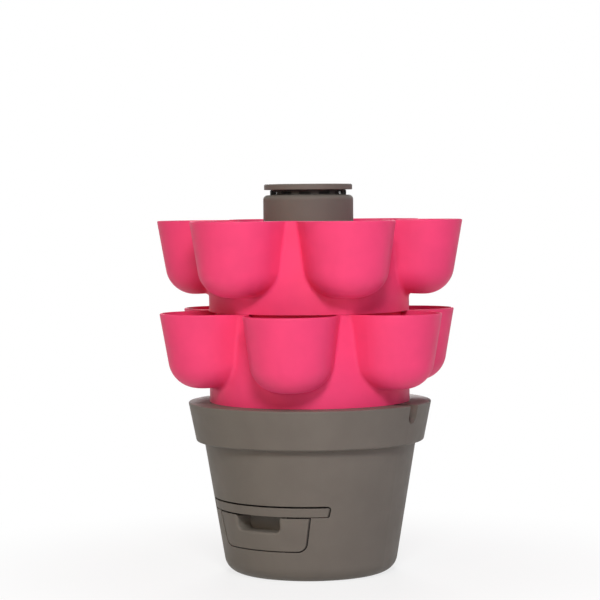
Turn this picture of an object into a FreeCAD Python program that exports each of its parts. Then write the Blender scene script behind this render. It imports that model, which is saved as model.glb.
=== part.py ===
import FreeCAD, Part
import math
import os
from FreeCAD import Vector, Rotation, Placement

# Vertical planter tower, in millimetres. The origin is on the ground, on the tower's axis.
# +Z is up, the drawer faces -Y, and angles round the axis are counted from -Y towards +X.

# Driving dimensions: the tiers
hub_radius = 200.0            # outside of a tier's round wall
tier_height = 180.4
tier_wall = 4.5
pocket_count = 6
pocket_radius = 91.0          # half a pocket's width at its rim, and its round front
pocket_offset = 16.5          # middle of the round front beyond the hub wall
pocket_run_in = 110.0         # a pocket's sides run this far back from that middle
pocket_depth = 146.5          # rim to the outside of the pocket's bottom
pocket_draft = 7.0            # degrees, all round
pocket_tilt = 3.0             # degrees that a pocket's foot is swung in under its rim
pocket_bottom_round = 58.0
pocket_blend = 8.0            # fillet where a pocket leaves the hub wall
rim_round = 2.6
lower_rest_turn = 25.3        # where the tiers stand at rest, degrees
upper_rest_turn = 55.5
seat_width = 12.0             # ledge that carries the tier above
seat_depth = 9.0
spigot_depth = 10.0
spigot_clearance = 0.6

# Driving dimensions: the base pot
base_height = 341.0
pot_wall = 5.0
pot_foot_radius = 168.5       # where the slanted wall would meet the ground
pot_foot_round = 33.0
collar_height = 78.0
collar_ledge = 43.2           # collar's top edge beyond the hub wall
collar_lean = 0.2             # how much the collar draws in per millimetre down
collar_step = 15.7            # collar's lower edge beyond the pot's wall
collar_edge_round = 2.3
collar_under_round = 4.0
throat_round = 2.0            # where the pot's wall meets the collar's underside
lip_depth = 20.0              # turned-down inner edge of the collar
lip_round = 1.5
pot_inner_round = 3.0
underside_recess = 8.0
foot_ring_width = 20.0
foot_ring_slope = 4.0
drain_hole_radius = 6.0
drain_hole_count = 6
drain_circle = 98.0
notch_width = 28.0
notch_depth = 36.0
notch_turn = 92.0             # where one of the two notches lies, degrees

# Driving dimensions: drawer and slide gate
drawer_bottom = 62.6
drawer_height = 65.8
drawer_width = 210.0          # at its top edge
drawer_lean = 0.2             # how much each side draws in per millimetre down
drawer_corner = 18.0
drawer_top_corner = 1.5
drawer_side_gap = 3.0
drawer_under_gap = 2.1
gate_width = 275.0            # at its top edge
gate_lean = 0.25              # how much each end draws in per millimetre down
gate_height = 17.5
gate_corner = 3.0
gate_end_gap = 2.4
gate_top_gap = 3.4
gate_under_gap = 1.2          # under the strip's two ends
front_gap = 2.9               # between the drawer front and the strip
front_inset = 0.6             # fronts lie this much inside the pot's surface
front_thickness = 3.4
front_edge_round = 1.2
fronts_reach = 50.0           # cutters through the front wall stop this far before the axis
recess_width = 108.0
recess_height = 29.0
recess_corner = 12.0
recess_depth = 42.0
recess_draw_in = 12.7         # each side of the recess, from its mouth to its back
recess_edge_round = 5.0
bin_wall = 3.0
bin_corner = 16.0
bin_side_gap = 1.5
bin_back_gap = 4.0
bin_lip_width = 2.4
bin_lip_height = 6.0
gate_plate_thickness = 3.5
gate_rib_depth = 9.0
gate_rib_thickness = 3.0
gate_runner_width = 6.0
gate_overlap = 20.0           # gate plate past the tube's outside
gate_back_gap = 5.0

# Driving dimensions: bay and deck
bay_wall = 3.0
bay_flange = 9.0              # frame that overlaps the pot round the opening
bay_corner = 12.0
bay_side_inset = 4.0          # bay's side inside the drawer front's lower end
gate_side_inset = 2.0
bay_back_clearance = 3.0
runner_height = 4.5
runner_width = 8.0
runner_spacing = 100.0
leg_radius = 9.0
leg_wall = 3.5
leg_end = 4.0                 # closed end of a leg, under the screw's head
leg_inset = 30.0              # leg's axis inside the drawer front's lower end
leg_reach = 83.0              # leg's axis before and behind the tower's axis
boss_height = 12.0
boss_inset = 1.5
deck_thickness = 4.0
deck_rise = 0.8               # deck above the opening's top edge
deck_clearance = 1.0
deck_rim_depth = 9.0
deck_rim_wall = 3.0
deck_boss_radius = 5.0
deck_boss_height = 15.0
deck_boss_offset = 3.0
deck_boss_reach = 70.0
ledge_reach = 12.0
ledge_height = 30.0
ledge_thickness = 4.0
ledge_count = 9
ledge_first = 60.0            # degrees
ledge_step = 30.0
drain_slot_width = 6.0
drain_slot_length = 26.0
drain_slot_pitch = 44.0       # along the circle that a row of slots lies on
drain_slot_margin = 10.0
drain_rim_margin = 2.0
boss_clear_radius = 24.0      # no drain slot's middle is nearer to a deck screw

# Driving dimensions: compost tube, collar and lid
tube_radius = 85.0
tube_wall = 3.5
socket_height = 20.0
socket_wall = 3.0
coupler_height = 44.0
coupler_wall = 3.5
coupler_stop = 3.0            # inner ring that parts the two tube sections
tube_slot_width = 8.0
tube_slot_length = 46.0
tube_slot_columns = 8
tube_slot_rows = 3
lid_rise = 71.6               # lid's top above the upper rim
lid_height = 11.4
lid_radius = 88.0
neck_height = 10.4
neck_radius = 75.0
neck_wall = 4.0
shoulder_round = 9.0
collar_skirt = 74.0
collar_wall = 4.6
vent_count = 12
vent_width = 24.0
vent_sill = 1.5
vent_head = 2.0
screen_thickness = 0.8
lid_wall = 3.0
lid_edge_round = 3.0
lid_rib_gap = 1.0
plug_depth = 4.0
grip_radius = 42.0
grip_depth = 22.0
grip_round = 6.0
grip_bar_width = 22.0
grip_bar_thickness = 6.0
grip_bar_sink = 1.0

# Driving dimensions: clearances, small roundings and screws
fit = 0.3                     # between pieces that rest on or run in each other
running = 0.5
edge_round = 1.0
screw_radius = 2.0
screw_head_radius = 4.0
screw_head_height = 2.5
screw_head_round = 1.25
screw_seat_depth = 1.2
screw_hold = 2.2              # screw's end inside a front of the drawer or gate
pad_length = 40.0
pad_margin = 1.0              # screw pad beyond the screw's head
pilot_clearance = 0.02
pilot_spare = 0.5             # hole deeper than its screw
bay_screw_length = 12.0
deck_screw_length = 14.0
gate_screw_length = 8.0
gate_screw_rise = 7.0
gate_screw_spacing = 78.0
drawer_screw_length = 9.0
drawer_screw_inset = 14.0
drawer_screw_rise = 12.0      # from the bin's top and from its floor to a screw
collar_screw_length = 8.0
collar_screw_rise = 12.0
collar_screw_count = 3
collar_screw_first = 90.0

# Heights and radii that follow from them
lower_bottom = base_height + fit
lower_rim = lower_bottom + tier_height
upper_bottom = lower_rim + fit
upper_rim = upper_bottom + tier_height
pocket_axis = hub_radius + pocket_offset
seat_hole = hub_radius - seat_width
collar_radius = hub_radius + collar_ledge
collar_under = base_height - collar_height
collar_low_radius = collar_radius - collar_lean * collar_height
pot_top_radius = collar_low_radius - collar_step
pot_lean = (pot_top_radius - pot_foot_radius) / collar_under
floor_top = underside_recess + pot_wall
boss_top = floor_top + boss_height
drawer_top = drawer_bottom + drawer_height
drawer_half = drawer_width / 2
drawer_low_half = drawer_half - drawer_lean * drawer_height
gate_bottom = drawer_top + front_gap
gate_top = gate_bottom + gate_height
gate_low_half = gate_width / 2 - gate_lean * gate_height
deck_bottom = gate_top + gate_top_gap + deck_rise
deck_top = deck_bottom + deck_thickness
lid_top = upper_rim + lid_rise
lid_bottom = lid_top - lid_height
shoulder = lid_bottom - neck_height
neck_top = lid_bottom - fit
neck_bore = neck_radius - neck_wall
tube_bore = tube_radius - tube_wall
tube_top = shoulder - collar_wall - fit
tube_joint = (deck_top + tube_top) / 2
front_back = front_inset + front_thickness
bay_floor = drawer_bottom - drawer_under_gap
bay_half = drawer_low_half - bay_side_inset       # half the width that the bin runs in
gate_half = gate_low_half - gate_side_inset       # half the width that the gate runs in
gate_shelf = gate_bottom - fit                    # bay's shoulders, which the gate slides on
bin_half = bay_half - bin_side_gap
bin_bottom = bay_floor + runner_height + fit
bin_top = drawer_top - front_gap

# Bounds for cutters and for telling edges apart
beyond = 500.0                # past every piece
over = 5.0                    # cutter past the face that it cuts
near = 0.05
tiny = 0.5


def pot_radius(z):
    """Outside of the pot's slanted wall at height z."""
    return pot_foot_radius + pot_lean * z


def outline(corners):
    """Closed wire through (u, v, rounding) corners, drawn in the XZ plane."""
    count = len(corners)
    points = [Vector(c[0], 0, c[1]) for c in corners]
    rounding = [c[2] if len(c) > 2 else 0 for c in corners]
    starts, ends, mids = [], [], []
    for i in range(count):
        here = points[i]
        back = (points[i - 1] - here).normalize()
        ahead = (points[(i + 1) % count] - here).normalize()
        if rounding[i] <= 0:
            starts.append(here)
            ends.append(here)
            mids.append(None)
            continue
        half = back.getAngle(ahead) / 2
        reach = rounding[i] / math.tan(half)
        middle = (back + ahead).normalize()
        centre = here + middle * (rounding[i] / math.sin(half))
        starts.append(here + back * reach)
        ends.append(here + ahead * reach)
        mids.append(centre - middle * rounding[i])
    edges = []
    for i in range(count):
        if mids[i] is not None:
            edges.append(Part.Arc(starts[i], mids[i], ends[i]).toShape())
        following = starts[(i + 1) % count]
        if (following - ends[i]).Length > 1e-6:
            edges.append(Part.LineSegment(ends[i], following).toShape())
    return Part.Wire(edges)


def revolved(corners):
    """Solid of revolution round Z from (radius, height, rounding) corners."""
    face = Part.Face(outline(corners))
    return face.revolve(Vector(0, 0, 0), Vector(0, 0, 1), 360)


def prism_y(corners, y0, y1):
    """Outline in X and Z, carried from y0 to y1."""
    wire = outline(corners)
    wire.translate(Vector(0, y0, 0))
    return Part.Face(wire).extrude(Vector(0, y1 - y0, 0))


def rectangle(x0, x1, z0, z1, rounding=0):
    """Corners of an upright rectangle, all rounded alike."""
    return [(x0, z0, rounding), (x1, z0, rounding), (x1, z1, rounding), (x0, z1, rounding)]


def cylinder(radius, z0, z1, x=0, y=0):
    return Part.makeCylinder(radius, z1 - z0, Vector(x, y, z0))


def ring(outer, inner, z0, z1):
    return cylinder(outer, z0, z1).cut(cylinder(inner, z0 - over, z1 + over))


def block(x0, x1, y0, y1, z0, z1):
    return Part.makeBox(x1 - x0, y1 - y0, z1 - z0, Vector(x0, y0, z0))


def slab(z0, z1):
    """Everything between two heights."""
    return block(-beyond, beyond, -beyond, beyond, z0, z1)


def pot_cone(inset, z0=0, z1=deck_top):
    """Solid inside the pot's slanted surface, set in by the inset."""
    low = pot_radius(z0) - inset
    high = pot_radius(z1) - inset
    return Part.makeCone(low, high, z1 - z0, Vector(0, 0, z0))


def turned(shape, degrees):
    copy = shape.copy()
    copy.rotate(Vector(0, 0, 0), Vector(0, 0, 1), degrees)
    return copy


def around(shape, count, first=0):
    """Copies of a shape at equal turns round the axis."""
    return [turned(shape, first + 360 * i / count) for i in range(count)]


def fused(shapes):
    return shapes[0].multiFuse(shapes[1:]) if len(shapes) > 1 else shapes[0]


def along(shape, start, direction):
    """Shape built up +Z from the origin, laid along a direction from a start point."""
    copy = shape.copy()
    copy.Placement = Placement(start, Rotation(Vector(0, 0, 1), direction))
    return copy


def slot_cutter(width, length, depth):
    """Round-ended bar, length along Z and depth along X, centred on the origin."""
    half = width / 2
    bar = prism_y(rectangle(-half, half, -length / 2, length / 2, half), -depth / 2, depth / 2)
    return turned(bar, 90)


def edge_points(edge):
    """Start, middle and end of an edge."""
    low = edge.FirstParameter
    high = edge.LastParameter
    return [edge.valueAt(p) for p in (low, (low + high) / 2, high)]


def screw(start, direction, length):
    """Pan-head screw whose head rests at the start and whose shank runs along the direction."""
    head = Part.makeCylinder(screw_head_radius, screw_head_height, Vector(0, 0, -screw_head_height))
    rim = [e for e in head.Edges if e.BoundBox.ZMax < near - screw_head_height]
    head = head.makeFillet(screw_head_round, rim)
    shank = Part.makeCylinder(screw_radius, length)
    return along(head.fuse(shank).removeSplitter(), start, direction)


def screw_hole(start, direction, length):
    hole = Part.makeCylinder(screw_radius + pilot_clearance, length + pilot_spare)
    return along(hole, start, direction)


def screw_seat(start, direction, length):
    """Flat-bottomed sink for a screw's head."""
    sink = Part.makeCylinder(screw_head_radius + tiny, screw_seat_depth, Vector(0, 0, -edge_round))
    return along(sink, start, direction)


# Tiers: a round wall with six cups that swell out of it, one skin thick


def cup(inset, top):
    """Pocket as a solid, set in from its outside and cut off at a height.

    The front is half of a tapered cup with a rounded bottom. Its profile is carried straight
    back into the hub, so that the plan is a U, and the whole is tilted about its rim.
    """
    draft = math.radians(pocket_draft)
    foot_round = pocket_bottom_round - inset
    low = inset - pocket_depth
    high = 2 * over
    radius = pocket_radius - inset / math.cos(draft)
    foot = radius + math.tan(draft) * low
    mouth = radius + math.tan(draft) * high
    half_profile = Part.Face(outline([(0, low), (foot, low, foot_round), (mouth, high), (0, high)]))
    front = half_profile.revolve(Vector(0, 0, 0), Vector(0, 0, 1), -180)
    run_in = prism_y([(-foot, low, foot_round), (foot, low, foot_round), (mouth, high), (-mouth, high)],
                     0, pocket_run_in)
    solid = front.fuse(run_in).removeSplitter()
    solid.rotate(Vector(0, 0, 0), Vector(1, 0, 0), pocket_tilt)
    solid.translate(Vector(0, -pocket_axis, tier_height))
    return solid.common(slab(0, top))


def leaves_hub(edge, radius, bottom, top):
    """True for an edge where a cup leaves the round wall, between two heights."""
    points = edge_points(edge)
    on_wall = all(abs(math.hypot(p.x, p.y) - radius) < near for p in points)
    upright = (points[0].x - points[2].x) ** 2 + (points[0].y - points[2].y) ** 2 < near ** 2
    between = bottom + tiny < points[1].z < top - tiny
    return on_wall and between and not upright and edge.Length > tiny


def tier_form(inset, bottom, top):
    """Round wall and cups as one filled solid, set in from the outside by the inset."""
    wall_radius = hub_radius - inset
    form = cylinder(wall_radius, bottom, top).multiFuse(around(cup(inset, top), pocket_count))
    form = form.removeSplitter()
    blends = [e for e in form.Edges if leaves_hub(e, wall_radius, bottom, top)]
    return form.makeFillet(pocket_blend + inset, blends)


def rounded_rim(form):
    """The tier's outside with its top edge rounded."""
    edges = [e for e in form.Edges
             if e.BoundBox.ZMin > tier_height - near and e.BoundBox.ZMax < tier_height + near]
    return form.makeFillet(rim_round, edges)


def tier():
    outside = rounded_rim(tier_form(0, 0, tier_height))
    shell = outside.cut(tier_form(tier_wall, tier_wall, tier_height + over))
    # The wall between two pockets keeps a ledge at its top for the tier above.
    ledge = ring(hub_radius - tier_wall / 2, seat_hole, tier_height - seat_depth, tier_height - rim_round)
    ledge = ledge.cut(fused(around(cup(tier_wall, tier_height + over), pocket_count)))
    spigot_radius = seat_hole - spigot_clearance
    opening = spigot_radius - tier_wall
    shell = shell.cut(cylinder(opening, -over, tier_wall + over))
    spigot = ring(spigot_radius, opening, -spigot_depth, tier_wall / 2)
    return shell.multiFuse([spigot] + ledge.Solids).removeSplitter()


# Base pot


def notch_cutter(wall):
    """U-shaped channel through the collar, larger by the wall."""
    half = notch_width / 2 + wall
    bottom = base_height - notch_depth - wall
    bar = prism_y([(-half, bottom, half), (half, bottom, half),
                   (half, base_height + over), (-half, base_height + over)],
                  seat_hole - over, collar_radius + over)
    return turned(bar, notch_turn - 180)


def opening_corners(grow):
    """T-shaped outline round the drawer front and the gate front, larger than the opening."""
    low = drawer_bottom - drawer_under_gap - grow
    step = gate_bottom - gate_under_gap - grow
    high = gate_top + gate_top_gap + grow
    side = drawer_half + drawer_side_gap + grow
    at_step = side + drawer_lean * (step - drawer_top)
    at_low = side + drawer_lean * (low - drawer_top)
    end = gate_width / 2 + gate_end_gap + grow
    wide = end + gate_lean * (high - gate_top)
    wide_low = end + gate_lean * (step - gate_top)
    corner = drawer_corner + drawer_side_gap
    end_corner = gate_corner + gate_end_gap
    return [(-at_low, low, corner), (at_low, low, corner), (at_step, step),
            (wide_low, step, gate_corner), (wide, high, end_corner), (-wide, high, end_corner),
            (-wide_low, step, gate_corner), (-at_step, step)]


def pot_skin():
    """Floor, wall, collar and turned-down lip as one revolved wall."""
    wall = pot_wall
    ring_inner = pot_foot_radius - pot_foot_round - foot_ring_width
    lip_outer = seat_hole + wall
    inner_top = base_height - wall
    inner_under = collar_under + wall
    return revolved([
        (0, underside_recess), (ring_inner, underside_recess, pot_inner_round),
        (ring_inner + foot_ring_slope, 0, pot_inner_round),
        (pot_foot_radius, 0, pot_foot_round),
        (pot_top_radius, collar_under, throat_round),
        (collar_low_radius, collar_under, collar_under_round),
        (collar_radius, base_height, collar_edge_round),
        (seat_hole, base_height, lip_round),
        (seat_hole, base_height - lip_depth, lip_round), (lip_outer, base_height - lip_depth, lip_round),
        (lip_outer, inner_top, pot_inner_round),
        (collar_radius - collar_lean * wall - wall, inner_top, pot_inner_round),
        (collar_low_radius - wall, inner_under, pot_inner_round),
        (pot_radius(inner_under) - wall, inner_under, pot_inner_round),
        (pot_radius(floor_top) - wall, floor_top, pot_foot_round - wall),
        (0, floor_top)])


def notch_channels():
    """Walls of the two notches, within the collar."""
    channel = notch_cutter(pot_wall).cut(notch_cutter(0))
    envelope = revolved([
        (seat_hole, base_height), (collar_radius, base_height, collar_edge_round),
        (collar_low_radius, collar_under, collar_under_round), (seat_hole, collar_under)])
    channel = channel.common(envelope)
    return [channel, turned(channel, 180)]


def ledge_ribs():
    """Gussets on the pot's wall that carry the soil deck."""
    root = pot_wall / 2
    reach = ledge_reach + root
    rib = prism_y([(0, 0), (reach, 0), (reach, -ledge_thickness), (0, -ledge_height)],
                  -ledge_thickness / 2, ledge_thickness / 2)
    rib = turned(rib, 90)
    rib.translate(Vector(0, root - pot_radius(deck_bottom), deck_bottom))
    inside = pot_cone(root)
    return [turned(rib, ledge_first + i * ledge_step).common(inside) for i in range(ledge_count)]


def rounds_mouth(edge):
    """True for the edges where the opening for the fronts breaks the pot's outer surface."""
    points = edge_points(edge)
    on_surface = all(abs(math.hypot(p.x, p.y) - pot_radius(p.z)) < near for p in points)
    return on_surface and bay_floor - near < points[1].z < deck_bottom and points[1].y < -fronts_reach


def base_pot():
    bosses = [cylinder(leg_radius - boss_inset, floor_top - pot_wall / 2, boss_top, x, y)
              for x, y in leg_places()]
    mouth = prism_y(opening_corners(0), -collar_radius, -fronts_reach)
    pot = pot_skin().cut(mouth)
    pot = pot.makeFillet(front_edge_round, [e for e in pot.Edges if rounds_mouth(e)])
    pot = pot.multiFuse(notch_channels() + ledge_ribs() + bosses)
    drain = cylinder(drain_hole_radius, -over, floor_top + over, 0, -drain_circle)
    drains = around(drain, drain_hole_count)
    notches = around(notch_cutter(0), 2)
    return pot.cut(fused(drains + notches + bay_screw_holes())).removeSplitter()


# Drawer bay, the housing behind the opening


def leg_places():
    side = drawer_low_half - leg_inset
    return [(sx * side, sy * leg_reach) for sx in (-1, 1) for sy in (-1, 1)]


def bay_back():
    """How far back the bay's inside can reach within the round pot."""
    corner = pot_radius(gate_bottom) - pot_wall - bay_back_clearance
    side = gate_half + bay_wall
    return math.sqrt(corner ** 2 - side ** 2) - bay_wall


def bay_inside(grow):
    """T-shaped space inside the bay, grown by a wall."""
    narrow = bay_half + grow
    wide = gate_half + grow
    low = bay_floor - grow
    step = gate_shelf - grow
    high = deck_bottom - fit
    return [(-narrow, low, bay_corner + grow), (narrow, low, bay_corner + grow), (narrow, step),
            (wide, step), (wide, high), (-wide, high), (-wide, step), (-narrow, step)]


def bay_screw_starts():
    return [Vector(x, y, boss_top + leg_end) for x, y in leg_places()]


def bay_screw_holes():
    return [screw_hole(s, Vector(0, 0, -1), bay_screw_length) for s in bay_screw_starts()]


def bay_screws():
    return Part.makeCompound([screw(s, Vector(0, 0, -1), bay_screw_length) for s in bay_screw_starts()])


def deck_boss_places():
    side = gate_half + bay_wall + deck_boss_offset
    return [(sx * side, sy * deck_boss_reach) for sx in (-1, 1) for sy in (-1, 1)]


def bay_frame():
    """Flange behind the pot's wall, round the opening."""
    inset = pot_wall + fit
    frame = prism_y(opening_corners(bay_flange - front_gap), -collar_radius, -fronts_reach)
    frame = frame.common(pot_cone(inset)).cut(pot_cone(inset + bay_wall))
    return frame.common(slab(0, deck_bottom - fit))


def drawer_bay():
    back = bay_back()
    inside_pot = pot_cone(pot_wall + fit, 0, deck_bottom)
    shell = prism_y(bay_inside(bay_wall), -collar_radius, back + bay_wall).common(inside_pot)
    hollow = prism_y(bay_inside(0), -collar_radius - over, back)
    legs = [cylinder(leg_radius, boss_top, bay_floor - bay_wall / 2, x, y) for x, y in leg_places()]
    bosses = [cylinder(deck_boss_radius, gate_shelf - deck_boss_height, deck_bottom - fit, x, y)
              for x, y in deck_boss_places()]
    body = shell.multiFuse([bay_frame()] + legs + bosses).cut(hollow)
    half = runner_width / 2
    runners = [block(x - half, x + half, -collar_radius, back,
                     bay_floor - bay_wall / 2, bay_floor + runner_height).common(inside_pot)
               for x in (-runner_spacing / 2, runner_spacing / 2)]
    wells = [cylinder(leg_radius - leg_wall, boss_top + leg_end, bay_floor + edge_round, x, y)
             for x, y in leg_places()]
    body = body.multiFuse(runners).cut(fused(wells + bay_screw_holes() + deck_screw_holes()))
    return body.removeSplitter()


# Soil deck


def deck_screw_starts():
    return [Vector(x, y, deck_top) for x, y in deck_boss_places()]


def deck_screw_holes():
    return [screw_hole(s, Vector(0, 0, -1), deck_screw_length) for s in deck_screw_starts()]


def deck_screws():
    return Part.makeCompound([screw(s, Vector(0, 0, -1), deck_screw_length) for s in deck_screw_starts()])


def deck_edge():
    """Outside of the deck's underside."""
    return pot_radius(deck_bottom) - pot_wall - deck_clearance


def deck_drains():
    """Rows of slots between the tube's socket and the deck's rim, clear of its screws."""
    inner = tube_radius + fit + drain_slot_margin
    space = deck_edge() - drain_rim_margin - inner
    rows = max(1, int(space / (drain_slot_length + drain_slot_margin)))
    slot = slot_cutter(drain_slot_width, drain_slot_length, 4 * over)
    slot.rotate(Vector(0, 0, 0), Vector(0, 1, 0), 90)
    drains = []
    for row in range(rows):
        middle = inner + (row + 0.5) * space / rows
        count = int(2 * math.pi * middle / drain_slot_pitch)
        placed = slot.copy()
        placed.translate(Vector(middle, 0, deck_bottom))
        for drain in around(placed, count, 90.0 / count):
            centre = drain.CenterOfMass
            if all(math.hypot(centre.x - x, centre.y - y) > boss_clear_radius for x, y in deck_boss_places()):
                drains.append(drain)
    return drains


def soil_deck():
    edge = deck_edge()
    rim_top = deck_top + deck_rim_depth
    rim_edge = edge + pot_lean * (rim_top - deck_bottom)
    socket = tube_radius + fit
    plate = revolved([
        (tube_bore, deck_bottom), (edge, deck_bottom, edge_round),
        (rim_edge, rim_top, edge_round), (rim_edge - deck_rim_wall, rim_top, edge_round),
        (edge - deck_rim_wall, deck_top, 2 * edge_round),
        (socket + socket_wall, deck_top, 2 * edge_round),
        (socket + socket_wall, deck_top + socket_height, edge_round),
        (socket, deck_top + socket_height), (socket, deck_top), (tube_bore, deck_top)])
    return plate.cut(fused(deck_drains() + deck_screw_holes())).removeSplitter()


# Screws from behind into the two curved fronts


def front_screw_starts(places, length):
    """Where the heads rest, so that the screws end inside the front."""
    starts = []
    for x, z in places:
        surface = math.sqrt((pot_radius(z) - front_back) ** 2 - x ** 2)
        starts.append(Vector(x, length - screw_hold - surface, z))
    return starts


def front_screws(places, length):
    starts = front_screw_starts(places, length)
    return Part.makeCompound([screw(s, Vector(0, -1, 0), length) for s in starts])


def front_screw_holes(places, length):
    starts = front_screw_starts(places, length)
    return fused([screw_hole(s, Vector(0, -1, 0), length - fit) for s in starts])


def front_screw_pads(places, length):
    """Round pads that run from the screws' heads to the back of the front."""
    pad = Part.makeCylinder(screw_head_radius + pad_margin, pad_length)
    behind = pot_cone(front_back + fit)
    return [along(pad, s, Vector(0, -1, 0)).common(behind) for s in front_screw_starts(places, length)]


# Slide gate


def gate_screw_places():
    z = gate_bottom + gate_screw_rise
    return [(x, z) for x in (-gate_screw_spacing, 0.0, gate_screw_spacing)]


def on_front(edge):
    """True for an edge that lies in the outer surface of the drawer front or the gate front."""
    return all(abs(math.hypot(p.x, p.y) - pot_radius(p.z) + front_inset) < near for p in edge_points(edge))


def gate_front():
    half = gate_width / 2
    strip = prism_y([(-gate_low_half, gate_bottom, gate_corner), (gate_low_half, gate_bottom, gate_corner),
                     (half, gate_top, gate_corner), (-half, gate_top, gate_corner)],
                    -collar_radius, -fronts_reach)
    strip = strip.common(pot_cone(front_inset))
    strip = strip.makeFillet(front_edge_round, [e for e in strip.Edges if on_front(e)])
    holes = front_screw_holes(gate_screw_places(), gate_screw_length)
    return strip.cut(pot_cone(front_back)).cut(holes).removeSplitter()


def gate_rear():
    """Back edge of the gate plate, past the tube's bore."""
    return min(tube_radius + gate_overlap, bay_back() - gate_back_gap)


def slide_gate():
    half = gate_half - running
    bottom = gate_shelf + fit
    top = gate_top - fit
    under = top - gate_plate_thickness
    rear = gate_rear()
    back_inset = front_back + fit
    plate = block(-half, half, -collar_radius, rear, under, top)
    runners = [block(x0, x1, -collar_radius, rear, bottom, top)
               for x0, x1 in ((-half, gate_runner_width - half), (half - gate_runner_width, half))]
    rib_half = gate_rib_thickness / 2
    ribs = [block(x - rib_half, x + rib_half, -collar_radius, rear, under - gate_rib_depth, top)
            for x in (-half / 3, half / 3)]
    wall = pot_cone(back_inset).cut(pot_cone(back_inset + bin_wall))
    wall = wall.common(block(-half, half, -collar_radius, -fronts_reach, bottom, top))
    pads = front_screw_pads(gate_screw_places(), gate_screw_length)
    body = plate.multiFuse(runners + ribs).common(pot_cone(back_inset))
    body = body.multiFuse(pads).common(slab(bottom, top)).fuse(wall)
    return body.cut(front_screw_holes(gate_screw_places(), gate_screw_length)).removeSplitter()


# Compost drawer


def recess(grow):
    """Space of the finger recess, narrower towards its back, with walls moved out by the grow."""
    mouth_y = -pot_radius(drawer_top)
    back_y = mouth_y + recess_depth
    start_y = mouth_y - recess_depth
    low = drawer_top - recess_height - grow
    high = drawer_top + over
    corner = recess_corner + grow
    ends = []
    for y, draw_in in ((start_y, -recess_draw_in), (back_y + grow, recess_draw_in)):
        half = recess_width / 2 - draw_in + grow
        wire = outline([(-half, low, corner), (half, low, corner), (half, high), (-half, high)])
        wire.translate(Vector(0, y, 0))
        ends.append(wire)
    return Part.makeLoft(ends, True, True)


def rounds_recess(edge):
    """True for the edges where the recess breaks the front's outer surface."""
    middle = edge_points(edge)[1]
    beside = abs(middle.x) < recess_width / 2 + recess_draw_in
    return on_front(edge) and beside and tiny < drawer_top - middle.z < recess_height + edge_round


def rounds_front(edge):
    """True for the edges round the drawer front's outer surface."""
    middle = edge_points(edge)[1]
    above_recess = abs(middle.x) < recess_width / 2 and middle.z > drawer_bottom + edge_round
    return on_front(edge) and not above_recess


def drawer_screw_places():
    low = bin_bottom + bin_wall + drawer_screw_rise
    high = bin_top - drawer_screw_rise
    side = bin_half - bin_wall - drawer_screw_inset
    return [(sx * side, z) for sx in (-1, 1) for z in (low, high)]


def drawer_front():
    body = prism_y([(-drawer_low_half, drawer_bottom, drawer_corner),
                    (drawer_low_half, drawer_bottom, drawer_corner),
                    (drawer_half, drawer_top, drawer_top_corner),
                    (-drawer_half, drawer_top, drawer_top_corner)], -collar_radius, -fronts_reach)
    body = body.common(pot_cone(front_inset))
    body = body.makeFillet(front_edge_round, [e for e in body.Edges if rounds_front(e)])
    body = body.cut(recess(0))
    body = body.makeFillet(recess_edge_round, [e for e in body.Edges if rounds_recess(e)])
    behind = pot_cone(front_back).cut(recess(bin_wall))
    holes = front_screw_holes(drawer_screw_places(), drawer_screw_length)
    return body.cut(behind).cut(holes).removeSplitter()


def drawer_bin():
    wall = bin_wall
    back = bay_back() - bin_back_gap
    back_inset = front_back + fit
    outside = prism_y([(-bin_half, bin_bottom, bin_corner), (bin_half, bin_bottom, bin_corner),
                       (bin_half, bin_top), (-bin_half, bin_top)], -collar_radius, back)
    outside = outside.common(pot_cone(back_inset))
    inner = bin_half - wall
    low = bin_bottom + wall
    corner = bin_corner - wall
    hollow = prism_y([(-inner, low, corner), (inner, low, corner),
                      (inner, bin_top + over), (-inner, bin_top + over)], -collar_radius, back - wall)
    hollow = hollow.common(pot_cone(back_inset + wall))
    pads = front_screw_pads(drawer_screw_places(), drawer_screw_length)
    lip_half = bin_lip_width / 2
    lips = [block(x - lip_half, x + lip_half, -runner_spacing / 2, back, bin_top - bin_lip_height, bin_top)
            for x in (-bin_half, bin_half)]
    body = outside.cut(hollow).multiFuse(pads + lips)
    body = body.cut(recess(wall + fit))
    return body.cut(front_screw_holes(drawer_screw_places(), drawer_screw_length)).removeSplitter()


# Compost tube, its coupler, its collar and the lid


def slotted_tube(z0, z1):
    tube = ring(tube_radius, tube_bore, z0, z1)
    cutters = []
    free = z1 - z0 - coupler_height - socket_height
    for row in range(tube_slot_rows):
        z = z0 + socket_height + coupler_height / 2 + (row + 0.5) * free / tube_slot_rows
        slot = slot_cutter(tube_slot_width, tube_slot_length, tube_radius / 2)
        slot.translate(Vector(tube_radius, 0, z))
        stagger = 180.0 / tube_slot_columns * (row % 2)
        cutters += around(slot, tube_slot_columns, stagger)
    return tube.cut(fused(cutters))


def compost_tube_lower():
    return slotted_tube(deck_top, tube_joint - coupler_stop / 2)


def compost_tube_upper():
    tube = slotted_tube(tube_joint + coupler_stop / 2, tube_top)
    return tube.cut(fused(collar_screw_shapes(screw_hole)))


def tube_coupler():
    inner = tube_radius + fit
    outer = inner + coupler_wall
    low = tube_joint - coupler_height / 2
    high = tube_joint + coupler_height / 2
    stop_low = tube_joint - coupler_stop / 2
    stop_high = tube_joint + coupler_stop / 2
    return revolved([
        (inner, low), (outer, low, edge_round), (outer, high, edge_round), (inner, high),
        (inner, stop_high), (tube_bore, stop_high), (tube_bore, stop_low), (inner, stop_low)])


def collar_screw_shapes(maker):
    """Screws round the collar's skirt, below the rim of the upper tier, or their holes."""
    outer = tube_radius + fit + collar_wall
    start = Vector(0, -outer - fit, shoulder - collar_skirt + collar_screw_rise)
    shape = maker(start, Vector(0, 1, 0), collar_screw_length)
    return around(shape, collar_screw_count, collar_screw_first)


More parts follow.
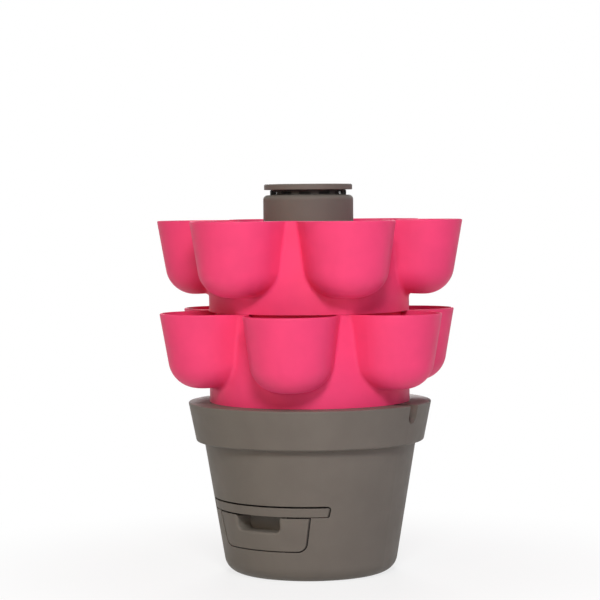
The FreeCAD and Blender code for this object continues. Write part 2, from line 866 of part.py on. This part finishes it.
def tube_collar():
    inner = tube_radius + fit
    outer = inner + collar_wall
    low = shoulder - collar_skirt
    body = revolved([
        (inner, low), (outer, low, edge_round), (outer, shoulder, shoulder_round),
        (neck_radius, shoulder, edge_round), (neck_radius, neck_top, edge_round),
        (neck_bore, neck_top, edge_round), (neck_bore, shoulder - collar_wall),
        (inner, shoulder - collar_wall)])
    half = vent_width / 2
    window = prism_y(rectangle(-half, half, shoulder + vent_sill, neck_top - vent_head, edge_round),
                     -neck_radius - over, over - neck_bore)
    cutters = around(window, vent_count)
    cutters += collar_screw_shapes(screw_hole) + collar_screw_shapes(screw_seat)
    return body.cut(fused(cutters)).removeSplitter()


def vent_screen():
    inner = neck_radius + fit
    return ring(inner + screen_thickness, inner, shoulder + fit, neck_top - edge_round)


def lid():
    wall = lid_wall
    rib_out = neck_radius + lid_rib_gap
    plug = neck_bore - running
    plug_low = lid_bottom - plug_depth
    under = lid_top - wall
    grip_floor = lid_top - grip_depth
    body = revolved([
        (0, grip_floor), (grip_radius, grip_floor, grip_round),
        (grip_radius, lid_top, 2 * edge_round), (lid_radius, lid_top, lid_edge_round),
        (lid_radius, lid_bottom, edge_round), (lid_radius - wall, lid_bottom, edge_round),
        (lid_radius - wall, under, 2 * edge_round),
        (rib_out, under), (rib_out, lid_bottom), (plug, lid_bottom), (plug, plug_low),
        (plug - wall, plug_low), (plug - wall, under), (grip_radius + wall, under),
        (grip_radius + wall, grip_floor - wall, grip_round + 2 * edge_round), (0, grip_floor - wall)])
    half = grip_bar_width / 2
    bar_top = lid_top - grip_bar_sink
    bar = prism_y(rectangle(-half, half, bar_top - grip_bar_thickness, bar_top, 2 * edge_round),
                  -grip_radius - wall / 2, grip_radius + wall / 2)
    return body.fuse(bar).removeSplitter()


def placed_tier(bottom, turn):
    shape = turned(tier(), turn)
    shape.translate(Vector(0, 0, bottom))
    return shape


nodes = {
    "base_pot": base_pot,
    "drawer_bay": drawer_bay,
    "bay_screws": bay_screws,
    "soil_deck": soil_deck,
    "deck_screws": deck_screws,
    "slide_gate": slide_gate,
    "gate_front": gate_front,
    "gate_screws": lambda: front_screws(gate_screw_places(), gate_screw_length),
    "drawer_bin": drawer_bin,
    "drawer_front": drawer_front,
    "drawer_screws": lambda: front_screws(drawer_screw_places(), drawer_screw_length),
    "compost_tube_lower": compost_tube_lower,
    "tube_coupler": tube_coupler,
    "compost_tube_upper": compost_tube_upper,
    "tube_collar": tube_collar,
    "collar_screws": lambda: Part.makeCompound(collar_screw_shapes(screw)),
    "vent_screen": vent_screen,
    "lid": lid,
    "lower_tier": lambda: placed_tier(lower_bottom, lower_rest_turn),
    "upper_tier": lambda: placed_tier(upper_bottom, upper_rest_turn),
}

os.makedirs("parts", exist_ok=True)
for name, make in nodes.items():
    shape = make()
    print(name, "solids", len(shape.Solids), "valid", shape.isValid(), "volume", round(shape.Volume))
    shape.exportStep("parts/" + name + ".step")
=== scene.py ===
import math

import bpy
import numpy as np
from mathutils import Matrix, Vector


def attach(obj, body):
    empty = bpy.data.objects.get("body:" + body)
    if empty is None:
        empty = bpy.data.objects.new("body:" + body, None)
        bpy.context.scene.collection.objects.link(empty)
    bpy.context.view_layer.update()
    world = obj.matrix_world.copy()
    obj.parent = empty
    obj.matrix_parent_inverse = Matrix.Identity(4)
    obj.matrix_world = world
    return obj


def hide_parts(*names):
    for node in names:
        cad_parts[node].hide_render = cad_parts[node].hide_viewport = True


# Looks of the vertical planter tower: moulded grey pot, pink tiers, compost tube and lid. The CAD
# nodes keep their shapes, but for the screws and the vent screen, which finer ones stand for.
# Camera, lamps and floor are in metres. Screws, vent screen and the patterns of the materials are
# in millimetres, and MM turns these into metres.

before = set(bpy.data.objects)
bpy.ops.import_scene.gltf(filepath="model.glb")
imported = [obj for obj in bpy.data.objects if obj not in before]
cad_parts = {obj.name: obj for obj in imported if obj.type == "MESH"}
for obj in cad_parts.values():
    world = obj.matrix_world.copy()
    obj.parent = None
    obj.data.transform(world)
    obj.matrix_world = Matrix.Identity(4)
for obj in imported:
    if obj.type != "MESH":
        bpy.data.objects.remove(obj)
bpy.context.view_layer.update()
MM = 0.001

# Colours as they are seen, sRGB
POT_GREY = "716C64"
# black-grey of the inner pieces, partly their colour and partly painted shade for the gaps they
# show through
INNER_GREY_AND_GAP_SHADE = "2E2B29"
TIER_PINK = "F7477B"
# near black of the vent screen, partly its coat and partly painted shade of the gap under the lid
SCREEN_BLACK_AND_NECK_SHADE = "1A1918"
SCREW_STEEL = "C4C4C2"
FLOOR_WHITE = "F7F7F6"
WHITE = "FFFFFF"

# What all moulded plastics share
PLASTIC_IOR = 1.49
SKIN_SHINE = 0.25                     # 0.5 is a polished skin's, and a grained one has less
CLOUD_SIZE = 70.0                     # patches where the colour is lighter or darker
POLISH_SIZE = 22.0                    # patches where the skin is smoother or rougher
SMOOTHER, ROUGHER = 0.04, 0.05        # by how much, in roughness
SPECK_SIZE = 1.6
SPECK_EDGE, SPECK_HEART = 0.60, 0.72  # levels of the noise where a speck begins and is full

# Turned steel
TURNED_SIZE = 0.8                     # patches where the turned face is brighter or duller
TURNED_BRIGHT, TURNED_DULL = 0.28, 0.42    # their roughness

NOISE_MIDDLE = {"From Min": 0.3, "From Max": 0.7}    # a noise seldom leaves this part of 0 to 1

# The photograph's camera, worked out from the curves of the pot's rims
PHOTO_TURN = math.radians(35.0)       # drawer front to camera, round the axis
CAMERA_DISTANCE = 4.40
CAMERA_HEIGHT = 0.742
CAMERA_PITCH = math.radians(2.60)     # downwards
CAMERA_YAW = math.radians(0.235)      # to the left
CAMERA_ROLL = math.radians(0.49)
FOCAL_PIXELS = 2200.0
PHOTO_PIXELS = 600.0
SENSOR_WIDTH = 36.0
CLIP_END = 100.0

# Up, and two level directions: from the axis to the camera, and to the photographer's right
UP = Vector((0, 0, 1))
TO_CAMERA = Vector((math.sin(PHOTO_TURN), -math.cos(PHOTO_TURN), 0.0))
TO_RIGHT = Vector((math.cos(PHOTO_TURN), math.sin(PHOTO_TURN), 0.0))

# Studio
AIR_LIGHT = 0.16                      # strength of the white air, as light
FLOOR_HALF = 30.0                     # half of its side
FLOOR_ROUGHNESS = 0.9
FLOOR_GLOW = 0.78                     # share of plain white in the floor under the pot
FADE_START, FADE_END = 0.25, 0.95     # from the axis, where that share starts to grow and is 1
LAMP_AIM = 0.40                       # height on the axis that the lamps point at

# Square lamps: how far to the photographer's right, towards the camera and up, then the lamp's
# side, watts and tint
LAMPS = {
    "front_box": (0.1, 3.4, 2.6, 0.9, 82.0, WHITE),
    "low_box": (-0.2, 3.9, 0.9, 1.2, 7.0, "FFF4EC"),
    "left_box": (-2.2, 2.7, 1.8, 1.2, 12.5, "FFCC92"),
    "right_box": (2.2, 2.7, 1.8, 1.2, 10.0, "EEC4FF"),
    "back_box": (0.0, -3.4, 2.3, 1.6, 75.0, WHITE),
}

# Cross-recess pan-head screws
HEAD_RADIUS = 4.0
HEAD_HEIGHT = 2.5
SIDE_HEIGHT = 0.5                     # of a ring of points on the head's side, from its underside
CROWN_RADIUS = 3.0                    # where the head's top starts to round off
CROWN_SAG = 0.25
CROSS_REACH = 2.1                     # from the screw's axis to the end of an arm
CROSS_HALF_WIDTH = 0.42
CROSS_DEPTH = 1.5
CROSS_DRAFT = 0.18                    # run of the recess's sloping wall
THREAD_RADIUS = 2.0
THREAD_CORE = 1.45
THREAD_PITCH = 1.4
POINT_LENGTH = 1.6
POINT_BLUNT = 0.06                    # share of its radius that the shank keeps at the very end
SCREW_SEGMENTS = 48
FIRST_RADIUS = 0.15                   # of the ring of points round the crown's pole
CROWN_ROWS = 16
EDGE_ROWS = 5
TURN_ROWS = 6                         # for each turn of the thread

# Screws by CAD node: body, length, and for each screw the middle under its head and the way that
# it points
DOWN, FORWARD = (0, 0, -1), (0, -1, 0)
COLLAR_TURNS = [math.radians(turn) for turn in (0, 120, 240)]
COLLAR_SEAT = 90.2                    # radius of the seats under the collar screws' heads
SCREWS = {
    "bay_screws": ("base", 12.0, [((x, y, 29.0), DOWN)
                                  for x in (-61.84, 61.84) for y in (-83.0, 83.0)]),
    "deck_screws": ("base", 14.0, [((x, y, 157.0), DOWN)
                                   for x in (-137.125, 137.125) for y in (-70.0, 70.0)]),
    "gate_screws": ("gate", 8.0, [((x, y, 138.3), FORWARD)
                                  for x, y in ((-78.0, -164.51), (0.0, -181.52), (78.0, -164.51))]),
    "drawer_screws": ("drawer", 9.0, [((x, y, z), FORWARD) for x in (-69.34, 69.34)
                                      for y, z in ((-156.87, 80.3), (-162.80, 113.5))]),
    "collar_screws": ("base", 8.0, [((COLLAR_SEAT * math.cos(turn), COLLAR_SEAT * math.sin(turn),
                                      690.2), (-math.cos(turn), -math.sin(turn), 0))
                                    for turn in COLLAR_TURNS]),
}

# Woven vent screen round the tube's neck
SCREEN_RADIUS = 75.7
SCREEN_FOOT = 752.5
SCREEN_TOP = 761.3
FIRST_RING = 753.15
RING_STEP = 1.5
RING_COUNT = 6
UPRIGHT_COUNT = 316                   # even, about 1.5 mm apart
UPRIGHT_ROWS = 24
RING_ROWS = UPRIGHT_COUNT * 3
WIRE_RADIUS = 0.2
WIRE_SIDES = 4


def linear(code):
    """sRGB hex to linear RGBA: each channel is divided by 12.92 or raised to 2.4."""
    values = [int(code[i:i + 2], 16) / 255 for i in (0, 2, 4)]
    return [v / 12.92 if v <= 0.04045 else ((v + 0.055) / 1.055) ** 2.4 for v in values] + [1.0]


def add(tree, kind, inputs=None, **settings):
    """Adds a node with its settings; an input is a value or another node's output."""
    made = tree.nodes.new(kind)
    for key, value in settings.items():
        setattr(made, key, value)
    for key, value in (inputs or {}).items():
        if isinstance(value, bpy.types.NodeSocket):
            tree.links.new(value, made.inputs[key])
        else:
            made.inputs[key].default_value = value
    return made


def blank_material(name):
    """Material with its tree, its shader and the object's own coordinates."""
    material = bpy.data.materials.new(name)
    material.use_nodes = True
    tree = material.node_tree
    shader = tree.nodes["Principled BSDF"]
    place = add(tree, "ShaderNodeTexCoord").outputs["Object"]
    return material, tree, shader, place


def moulded_plastic(name, code, roughness, grain_size, grain_depth, cloud, specks=0.0):
    """Moulded plastic: grain from the mould, clouds of colour, smoother patches, pale specks.

    The colour is the code's times a lightness, which stays within cloud of 1 and rises by up to
    specks in a speck.
    """
    material, tree, shader, place = blank_material(name)
    clouds = add(tree, "ShaderNodeTexNoise", {
        "Vector": place, "Scale": 1 / (CLOUD_SIZE * MM), "Detail": 3.0}).outputs["Fac"]
    lightness = add(tree, "ShaderNodeMapRange", {
        "Value": clouds, **NOISE_MIDDLE,
        "To Min": 1 - cloud, "To Max": 1 + cloud}).outputs["Result"]
    if specks:
        dots = add(tree, "ShaderNodeTexNoise", {
            "Vector": place, "Scale": 1 / (SPECK_SIZE * MM), "Detail": 1.0}).outputs["Fac"]
        bright = add(tree, "ShaderNodeMapRange", {
            "Value": dots, "From Min": SPECK_EDGE, "From Max": SPECK_HEART,
            "To Min": 0.0, "To Max": specks}).outputs["Result"]
        lightness = add(tree, "ShaderNodeMath", {0: lightness, 1: bright},
                        operation="ADD").outputs[0]
    shade = add(tree, "ShaderNodeVectorMath", {0: linear(code)[:3], "Scale": lightness},
                operation="SCALE").outputs["Vector"]
    tree.links.new(shade, shader.inputs["Base Color"])
    patches = add(tree, "ShaderNodeTexNoise", {
        "Vector": place, "Scale": 1 / (POLISH_SIZE * MM), "Detail": 3.0}).outputs["Fac"]
    polish = add(tree, "ShaderNodeMapRange", {
        "Value": patches, **NOISE_MIDDLE,
        "To Min": roughness - SMOOTHER, "To Max": roughness + ROUGHER}).outputs["Result"]
    tree.links.new(polish, shader.inputs["Roughness"])
    grain = add(tree, "ShaderNodeTexNoise", {
        "Vector": place, "Scale": 1 / (grain_size * MM), "Detail": 2.0}).outputs["Fac"]
    relief = add(tree, "ShaderNodeBump", {
        "Height": grain, "Strength": 1.0, "Distance": grain_depth * MM}).outputs["Normal"]
    tree.links.new(relief, shader.inputs["Normal"])
    shader.inputs["IOR"].default_value = PLASTIC_IOR
    shader.inputs["Specular IOR Level"].default_value = SKIN_SHINE
    return material


def turned_steel(name, code):
    """Turned steel: plain metal in brighter and duller patches."""
    material, tree, shader, place = blank_material(name)
    shader.inputs["Base Color"].default_value = linear(code)
    shader.inputs["Metallic"].default_value = 1.0
    patches = add(tree, "ShaderNodeTexNoise", {
        "Vector": place, "Scale": 1 / (TURNED_SIZE * MM), "Detail": 2.0}).outputs["Fac"]
    polish = add(tree, "ShaderNodeMapRange", {
        "Value": patches, **NOISE_MIDDLE,
        "To Min": TURNED_BRIGHT, "To Max": TURNED_DULL}).outputs["Result"]
    tree.links.new(polish, shader.inputs["Roughness"])
    return material


# Rotomoulded polyethylene: a satin skin with a faint pebble grain, mottled colour and pale specks.
# The real pebbles are under 1 mm, too fine to show, so they are drawn about 2 mm across.
pot_plastic = moulded_plastic("rotomoulded_polyethylene_grey", POT_GREY, roughness=0.58,
                              grain_size=2.2, grain_depth=0.16, cloud=0.05, specks=0.03)
# Injection moulded polypropylene, strong pink: smoother and a little glossier than the pot, with a
# faint mottle and no specks. Its grain too is finer than a pixel, and is drawn coarser.
tier_plastic = moulded_plastic("polypropylene_pink", TIER_PINK, roughness=0.52,
                               grain_size=1.2, grain_depth=0.03, cloud=0.045)
# Recycled polypropylene of the inner pieces: flecked and uneven, as mixed scrap is. Its black-grey
# is partly the plastic's own colour and partly painted shade, which darkens the gaps and openings
# where these pieces show.
# Its grain is drawn coarser as well.
inner_plastic_and_gap_shade = moulded_plastic("recycled_polypropylene_dark_gap_shade", INNER_GREY_AND_GAP_SHADE, roughness=0.55,
                                grain_size=1.8, grain_depth=0.10, cloud=0.06, specks=0.05)
# Glass fibre yarn in a dull black coat. Its near black is partly the coat's colour and partly
# painted shade, standing for the dark gap under the lid.
# The coat's grain is too fine to show, so it is drawn about as wide as a wire.
screen_mesh_and_neck_shade = moulded_plastic("glass_fibre_screen_neck_shade", SCREEN_BLACK_AND_NECK_SHADE, roughness=0.60,
                              grain_size=0.5, grain_depth=0.01, cloud=0.05)
# Stainless steel, turned: bright, and duller where the tool's marks run together. The marks are
# too fine to show, so there are patches nearly 1 mm across instead.
screw_steel = turned_steel("stainless_steel_turned", SCREW_STEEL)

# The CAD nodes that stay, by their finish
FINISHES = (
    (pot_plastic, ("base_pot", "gate_front", "drawer_front", "tube_collar", "lid")),
    (tier_plastic, ("lower_tier", "upper_tier")),
    (inner_plastic_and_gap_shade, ("drawer_bay", "soil_deck", "slide_gate", "drawer_bin",
                     "compost_tube_lower", "tube_coupler", "compost_tube_upper")),
)
for material, nodes in FINISHES:
    for node in nodes:
        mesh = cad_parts[node].data
        mesh.materials.clear()
        mesh.materials.append(material)


def new_object(name, data):
    """Object of this data, linked into the scene at the origin."""
    made = bpy.data.objects.new(name, data)
    bpy.context.scene.collection.objects.link(made)
    return made


def tube_faces(rows, columns):
    """Quads between the rows of a tube's points, and triangles to the pole at each end.

    Point number row * columns + column, then the first and the last row's pole. Faces point
    outwards if the rows run as a right-handed screw does that turns along the columns.
    """
    row, column = np.meshgrid(np.arange(rows - 1), np.arange(columns), indexing="ij")
    after = (column + 1) % columns
    quads = np.stack([row * columns + column, row * columns + after,
                      (row + 1) * columns + after, (row + 1) * columns + column], axis=-1)
    ring = np.arange(columns)
    following = (ring + 1) % columns
    first, last = rows * columns, rows * columns + 1
    start = np.stack([np.full(columns, first), following, ring], axis=1)
    foot = (rows - 1) * columns
    end = np.stack([np.full(columns, last), foot + ring, foot + following], axis=1)
    return quads.reshape(-1, 4), np.concatenate([start, end])


def band_faces(rows, columns):
    """The same quads for a tube bent into a ring, whose last row meets its first. No poles."""
    row, column = np.meshgrid(np.arange(rows), np.arange(columns), indexing="ij")
    on, after = (row + 1) % rows, (column + 1) % columns
    quads = np.stack([row * columns + column, row * columns + after,
                      on * columns + after, on * columns + column], axis=-1)
    return quads.reshape(-1, 4), np.zeros((0, 3), int)


def make_piece(name, parts, material, body, stood_for):
    """One piece of (points in millimetres, quads, triangles), on a body, for a CAD node."""
    points = np.concatenate([part[0] for part in parts]) * MM
    starts = np.cumsum([0] + [len(part[0]) for part in parts[:-1]])
    quads = np.concatenate([part[1] + start for part, start in zip(parts, starts)])
    triangles = np.concatenate([part[2] + start for part, start in zip(parts, starts)])
    mesh = bpy.data.meshes.new(name)
    mesh.from_pydata(points.tolist(), [], quads.tolist() + triangles.tolist())
    mesh.validate()
    mesh.update()
    mesh.materials.append(material)
    made = new_object(name, mesh)
    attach(made, body)
    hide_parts(stood_for)


def screw_points(length):
    """Screw along +Z from under its head: a profile (radius, height) turned round the axis.

    The crown's height goes with the square of the radius, and its edge is a quarter circle. A
    cross is sunk into it, deepest within CROSS_HALF_WIDTH of either arm's middle line. Its walls
    slope over CROSS_DRAFT, and over twice that at an arm's end. The shank's radius is the core
    plus a triangle wave of height and turn, one ridge for each pitch, and narrows to a point over
    the last POINT_LENGTH.
    """
    turns = np.arange(SCREW_SEGMENTS) * 2 * np.pi / SCREW_SEGMENTS
    crown = np.linspace(FIRST_RADIUS, CROWN_RADIUS, CROWN_ROWS)
    bend = np.linspace(0, np.pi / 2, EDGE_ROWS + 1)[1:]
    edge = HEAD_RADIUS - CROWN_RADIUS
    head_radius = np.concatenate([crown, CROWN_RADIUS + edge * np.sin(bend),
                                  [HEAD_RADIUS, HEAD_RADIUS]])
    head_height = np.concatenate([-HEAD_HEIGHT + CROWN_SAG * (crown / CROWN_RADIUS) ** 2,
                                  -HEAD_HEIGHT + CROWN_SAG + edge * (1 - np.cos(bend)),
                                  [-SIDE_HEIGHT, 0.0]])
    nearest = np.minimum(np.abs(np.sin(turns)), np.abs(np.cos(turns)))
    across = head_radius[:, None] * nearest[None]
    inside = np.clip((CROSS_HALF_WIDTH + CROSS_DRAFT - across) / CROSS_DRAFT, 0, 1)
    reach = np.clip((CROSS_REACH - head_radius) / (2 * CROSS_DRAFT), 0, 1)[:, None]
    head_z = head_height[:, None] + CROSS_DEPTH * inside * reach
    head_r = np.repeat(head_radius[:, None], SCREW_SEGMENTS, axis=1)

    shank_height = np.linspace(0.0, length, int(length / THREAD_PITCH * TURN_ROWS) + 1)
    wave = shank_height[:, None] / THREAD_PITCH - turns[None] / (2 * np.pi)
    ridge = 1 - 2 * np.abs(wave - np.floor(wave) - 0.5)
    point = np.clip((length - shank_height) / POINT_LENGTH, POINT_BLUNT, 1)[:, None]
    shank_r = (THREAD_CORE + (THREAD_RADIUS - THREAD_CORE) * ridge) * point
    shank_z = np.repeat(shank_height[:, None], SCREW_SEGMENTS, axis=1)

    radius = np.concatenate([head_r, shank_r])
    height = np.concatenate([head_z, shank_z])
    grid = np.stack([radius * np.cos(turns), radius * np.sin(turns), height], axis=-1)
    poles = np.array([[0, 0, head_z[0].mean()], [0, 0, length]])
    return np.concatenate([grid.reshape(-1, 3), poles]), len(radius)


def screws(node, body, length, places):
    """All screws of one CAD node: the same points, turned to their direction and moved."""
    points, rows = screw_points(length)
    faces = tube_faces(rows, SCREW_SEGMENTS)
    parts = []
    for place, direction in places:
        turn = np.array(Vector(direction).to_track_quat("Z", "Y").to_matrix())
        parts.append((points @ turn.T + np.array(place), *faces))
    make_piece("cross_" + node, parts, screw_steel, body, node)


def wire_points(path, first, second):
    """Square wire: the path plus WIRE_RADIUS times (first cos a + second sin a) for each side a.

    The path runs as a right-handed screw does that turns from first to second.
    """
    sides = ((np.arange(WIRE_SIDES) + 0.5) * 2 * np.pi / WIRE_SIDES)[None, :, None]
    rim = first[:, None] * np.cos(sides) + second[:, None] * np.sin(sides)
    return (path[:, None] + WIRE_RADIUS * rim).reshape(-1, 3)


def vent_screen():
    """Plain weave bent into a ring. Uprights and rings swing a wire's radius in and out.

    An upright's radius is SCREEN_RADIUS plus a cosine of its height, and a ring's is SCREEN_RADIUS
    less a cosine of its turn, so that each crossing passes over where its neighbours pass under.
    """
    parts = []
    height = np.linspace(SCREEN_FOOT, SCREEN_TOP, UPRIGHT_ROWS)[:, None]
    upward = np.array([[0.0, 0.0, 1.0]])
    faces = tube_faces(UPRIGHT_ROWS, WIRE_SIDES)
    for index in range(UPRIGHT_COUNT):
        turn = index * 2 * np.pi / UPRIGHT_COUNT
        outward = np.array([[math.cos(turn), math.sin(turn), 0.0]])
        along = np.array([[-math.sin(turn), math.cos(turn), 0.0]])
        swing = (-1) ** index * WIRE_RADIUS * np.cos(np.pi * (height - FIRST_RING) / RING_STEP)
        path = outward * (SCREEN_RADIUS + swing) + upward * height
        points = wire_points(path, outward, along)
        parts.append((np.concatenate([points, path[:1], path[-1:]]), *faces))

    turns = (np.arange(RING_ROWS) * 2 * np.pi / RING_ROWS)[:, None]
    outward = np.concatenate([np.cos(turns), np.sin(turns), np.zeros_like(turns)], axis=1)
    faces = band_faces(RING_ROWS, WIRE_SIDES)
    for index in range(RING_COUNT):
        swing = (-1) ** index * WIRE_RADIUS * np.cos(turns * UPRIGHT_COUNT / 2)
        path = outward * (SCREEN_RADIUS - swing) + upward * (FIRST_RING + index * RING_STEP)
        parts.append((wire_points(path, upward, outward), *faces))
    make_piece("woven_vent_screen", parts, screen_mesh_and_neck_shade, "base", "vent_screen")


for node, (body, length, places) in SCREWS.items():
    screws(node, body, length, places)
vent_screen()


def camera():
    """Camera at the photograph's place: beside the drawer front, at the height of the lid."""
    data = bpy.data.cameras.new("photo_camera")
    data.sensor_width = SENSOR_WIDTH
    data.lens = SENSOR_WIDTH * FOCAL_PIXELS / PHOTO_PIXELS
    data.clip_end = CLIP_END
    made = new_object("photo_camera", data)
    ahead = Matrix.Rotation(CAMERA_YAW, 3, "Z") @ -TO_CAMERA
    right = ahead.cross(UP).normalized()
    ahead = Matrix.Rotation(-CAMERA_PITCH, 3, right) @ ahead
    up = right.cross(ahead)
    rolled_up = up * math.cos(CAMERA_ROLL) + right * math.sin(CAMERA_ROLL)
    rolled_right = right * math.cos(CAMERA_ROLL) - up * math.sin(CAMERA_ROLL)
    turn = Matrix((rolled_right, rolled_up, -ahead)).transposed()
    place = TO_CAMERA * CAMERA_DISTANCE + UP * CAMERA_HEIGHT
    made.matrix_world = Matrix.Translation(place) @ turn.to_4x4()
    bpy.context.scene.camera = made


def soft_box(name, right, near, height, side, watts, tint):
    """Square lamp, placed as the photographer sees it and pointed at the tower's middle."""
    data = bpy.data.lights.new(name, "AREA")
    data.size = side
    data.energy = watts
    data.color = linear(tint)[:3]
    lamp = new_object(name, data)
    lamp.location = TO_RIGHT * right + TO_CAMERA * near + UP * height
    aim = UP * LAMP_AIM - lamp.location
    lamp.rotation_euler = aim.to_track_quat("-Z", "Y").to_euler()


def seen_rays(tree):
    """1 for rays that show the studio to the camera, straight or through gloss and glass."""
    rays = add(tree, "ShaderNodeLightPath").outputs
    seen = add(tree, "ShaderNodeMath", {0: rays["Is Camera Ray"], 1: rays["Is Glossy Ray"]},
               operation="MAXIMUM").outputs[0]
    return add(tree, "ShaderNodeMath", {0: seen, 1: rays["Is Transmission Ray"]},
               operation="MAXIMUM").outputs[0]


def white_air():
    """World that lights with AIR_LIGHT and is seen as plain white."""
    world = bpy.data.worlds.new("studio")
    bpy.context.scene.world = world
    world.use_nodes = True
    tree = world.node_tree
    tree.nodes.clear()
    seen = seen_rays(tree)
    air = add(tree, "ShaderNodeBackground", {"Color": linear(WHITE), "Strength": AIR_LIGHT})
    backdrop = add(tree, "ShaderNodeBackground", {"Color": linear(WHITE), "Strength": 1.0})
    both = add(tree, "ShaderNodeMixShader", {0: seen, 1: air.outputs[0], 2: backdrop.outputs[0]})
    add(tree, "ShaderNodeOutputWorld", {"Surface": both.outputs[0]})


def pale_floor():
    """Floor that keeps the shadow near the pot and melts into the white backdrop further out."""
    mesh = bpy.data.meshes.new("floor")
    corners = [(x * FLOOR_HALF, y * FLOOR_HALF, 0.0)
               for x, y in ((-1, -1), (1, -1), (1, 1), (-1, 1))]
    mesh.from_pydata(corners, [], [(0, 1, 2, 3)])
    floor = new_object("floor", mesh)
    material, tree, shader, place = blank_material("pale_floor")
    shader.inputs["Base Color"].default_value = linear(FLOOR_WHITE)
    shader.inputs["Roughness"].default_value = FLOOR_ROUGHNESS
    shader.inputs["Specular IOR Level"].default_value = 0.0
    away = add(tree, "ShaderNodeVectorMath", {0: place}, operation="LENGTH").outputs["Value"]
    fade = add(tree, "ShaderNodeMapRange", {
        "Value": away, "From Min": FADE_START, "From Max": FADE_END,
        "To Min": FLOOR_GLOW, "To Max": 1.0}, interpolation_type="SMOOTHSTEP").outputs["Result"]
    share = add(tree, "ShaderNodeMath", {0: fade, 1: seen_rays(tree)},
                operation="MULTIPLY").outputs[0]
    white = add(tree, "ShaderNodeEmission", {"Color": linear(WHITE), "Strength": 1.0}).outputs[0]
    both = add(tree, "ShaderNodeMixShader", {0: share, 1: shader.outputs[0], 2: white}).outputs[0]
    tree.links.new(both, tree.nodes["Material Output"].inputs["Surface"])
    mesh.materials.append(material)


bpy.context.scene.view_settings.view_transform = "Standard"
camera()
white_air()
pale_floor()
for name, settings in LAMPS.items():
    soft_box(name, *settings)
